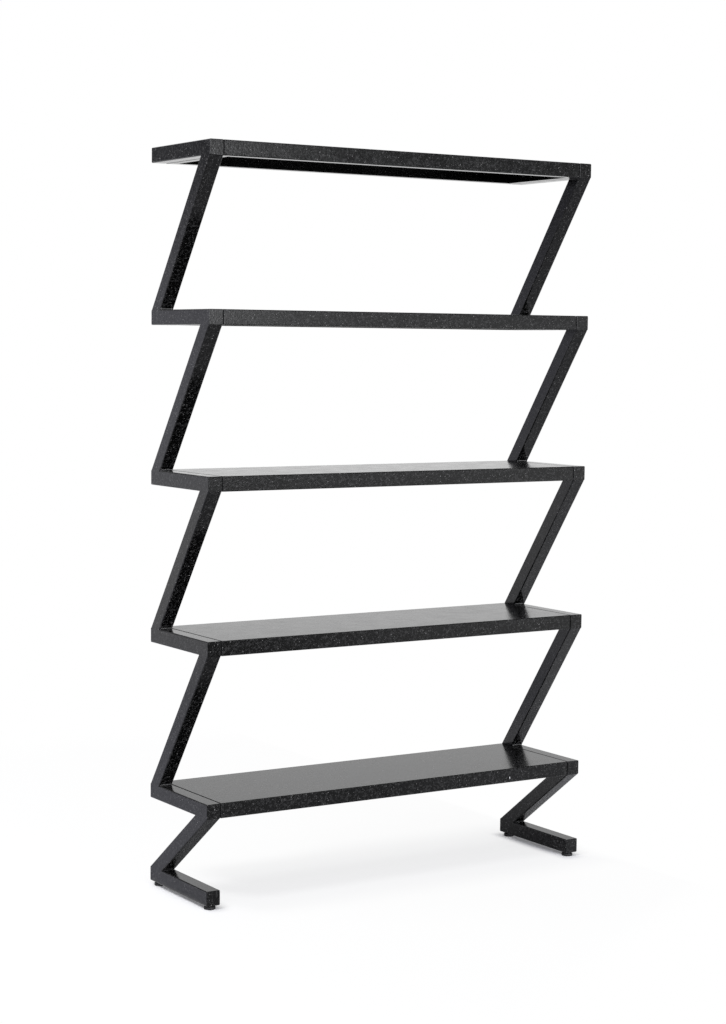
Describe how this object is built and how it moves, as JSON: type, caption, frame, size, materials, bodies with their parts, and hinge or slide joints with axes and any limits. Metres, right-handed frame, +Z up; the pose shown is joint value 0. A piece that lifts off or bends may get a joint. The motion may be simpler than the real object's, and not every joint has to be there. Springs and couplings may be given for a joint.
{
  "type": "bookshelf",
  "caption": "Open bookshelf of folded steel shelves screwed between zigzag side frames of square steel tube, on levelling feet.",
  "frame": {"origin": "on the floor, under the middle of the bookshelf", "axes": "+Z up, +X along the shelves, +Y towards the back"},
  "size_m": [1.22, 0.32, 1.981],
  "materials": {
    "frame_coat": "satin black powder coat with pale flecks",
    "shelf_coat": "satin black powder coat with pale flecks",
    "screw_steel": "blackened",
    "stud_steel": "blackened",
    "nut_steel": "bright zinc",
    "pad_plastic": "matt"
  },
  "bodies": {
    "shelf_unit": {"left_foot_bar": "frame_coat", "left_diagonal_1": "frame_coat", "left_shelf_tube_1": "frame_coat", "left_diagonal_2": "frame_coat", "left_shelf_tube_2": "frame_coat", "left_diagonal_3": "frame_coat", "left_shelf_tube_3": "frame_coat", "left_diagonal_4": "frame_coat", "left_shelf_tube_4": "frame_coat", "left_diagonal_5": "frame_coat", "left_shelf_tube_5": "frame_coat", "right_foot_bar": "frame_coat", "right_diagonal_1": "frame_coat", "right_shelf_tube_1": "frame_coat", "right_diagonal_2": "frame_coat", "right_shelf_tube_2": "frame_coat", "right_diagonal_3": "frame_coat", "right_shelf_tube_3": "frame_coat", "right_diagonal_4": "frame_coat", "right_shelf_tube_4": "frame_coat", "right_diagonal_5": "frame_coat", "right_shelf_tube_5": "frame_coat", "shelf_1": "shelf_coat", "shelf_1_screw_left_front": "screw_steel", "shelf_1_screw_left_back": "screw_steel", "shelf_1_screw_right_front": "screw_steel", "shelf_1_screw_right_back": "screw_steel", "shelf_2": "shelf_coat", "shelf_2_screw_left_front": "screw_steel", "shelf_2_screw_left_back": "screw_steel", "shelf_2_screw_right_front": "screw_steel", "shelf_2_screw_right_back": "screw_steel", "shelf_3": "shelf_coat", "shelf_3_screw_left_front": "screw_steel", "shelf_3_screw_left_back": "screw_steel", "shelf_3_screw_right_front": "screw_steel", "shelf_3_screw_right_back": "screw_steel", "shelf_4": "shelf_coat", "shelf_4_screw_left_front": "screw_steel", "shelf_4_screw_left_back": "screw_steel", "shelf_4_screw_right_front": "screw_steel", "shelf_4_screw_right_back": "screw_steel", "shelf_5": "shelf_coat", "shelf_5_screw_left_front": "screw_steel", "shelf_5_screw_left_back": "screw_steel", "shelf_5_screw_right_front": "screw_steel", "shelf_5_screw_right_back": "screw_steel", "weld_nut_left_front": "nut_steel", "weld_nut_left_back": "nut_steel", "weld_nut_right_front": "nut_steel", "weld_nut_right_back": "nut_steel"},
    "pad_left_front": {"foot_pad_left_front": "pad_plastic"},
    "stud_left_front": {"foot_stud_left_front": "stud_steel"},
    "pad_left_back": {"foot_pad_left_back": "pad_plastic"},
    "stud_left_back": {"foot_stud_left_back": "stud_steel"},
    "pad_right_front": {"foot_pad_right_front": "pad_plastic"},
    "stud_right_front": {"foot_stud_right_front": "stud_steel"},
    "pad_right_back": {"foot_pad_right_back": "pad_plastic"},
    "stud_right_back": {"foot_stud_right_back": "stud_steel"}
  },
  "joints": [
    {"name": "foot_travel_left_front", "type": "slide", "parent": "shelf_unit", "child": "pad_left_front", "axis": [0, 0, -1], "range_m": [0, 0.015]},
    {"name": "stud_turn_left_front", "type": "hinge", "parent": "pad_left_front", "child": "stud_left_front", "pos_m": [-0.59, -0.14, 0.01], "axis": [0, 0, -1], "range_deg": [0, 4320]},
    {"name": "foot_travel_left_back", "type": "slide", "parent": "shelf_unit", "child": "pad_left_back", "axis": [0, 0, -1], "range_m": [0, 0.015]},
    {"name": "stud_turn_left_back", "type": "hinge", "parent": "pad_left_back", "child": "stud_left_back", "pos_m": [-0.59, 0.14, 0.01], "axis": [0, 0, -1], "range_deg": [0, 4320]},
    {"name": "foot_travel_right_front", "type": "slide", "parent": "shelf_unit", "child": "pad_right_front", "axis": [0, 0, -1], "range_m": [0, 0.015]},
    {"name": "stud_turn_right_front", "type": "hinge", "parent": "pad_right_front", "child": "stud_right_front", "pos_m": [0.59, -0.14, 0.01], "axis": [0, 0, -1], "range_deg": [0, 4320]},
    {"name": "foot_travel_right_back", "type": "slide", "parent": "shelf_unit", "child": "pad_right_back", "axis": [0, 0, -1], "range_m": [0, 0.015]},
    {"name": "stud_turn_right_back", "type": "hinge", "parent": "pad_right_back", "child": "stud_right_back", "pos_m": [0.59, 0.14, 0.01], "axis": [0, 0, -1], "range_deg": [0, 4320]}
  ],
  "couplings": [
    {"joint": "stud_turn_left_front", "follows": "foot_travel_left_front", "rad_per_m": 5026.5},
    {"joint": "stud_turn_left_back", "follows": "foot_travel_left_back", "rad_per_m": 5026.5},
    {"joint": "stud_turn_right_front", "follows": "foot_travel_right_front", "rad_per_m": 5026.5},
    {"joint": "stud_turn_right_back", "follows": "foot_travel_right_back", "rad_per_m": 5026.5}
  ]
}
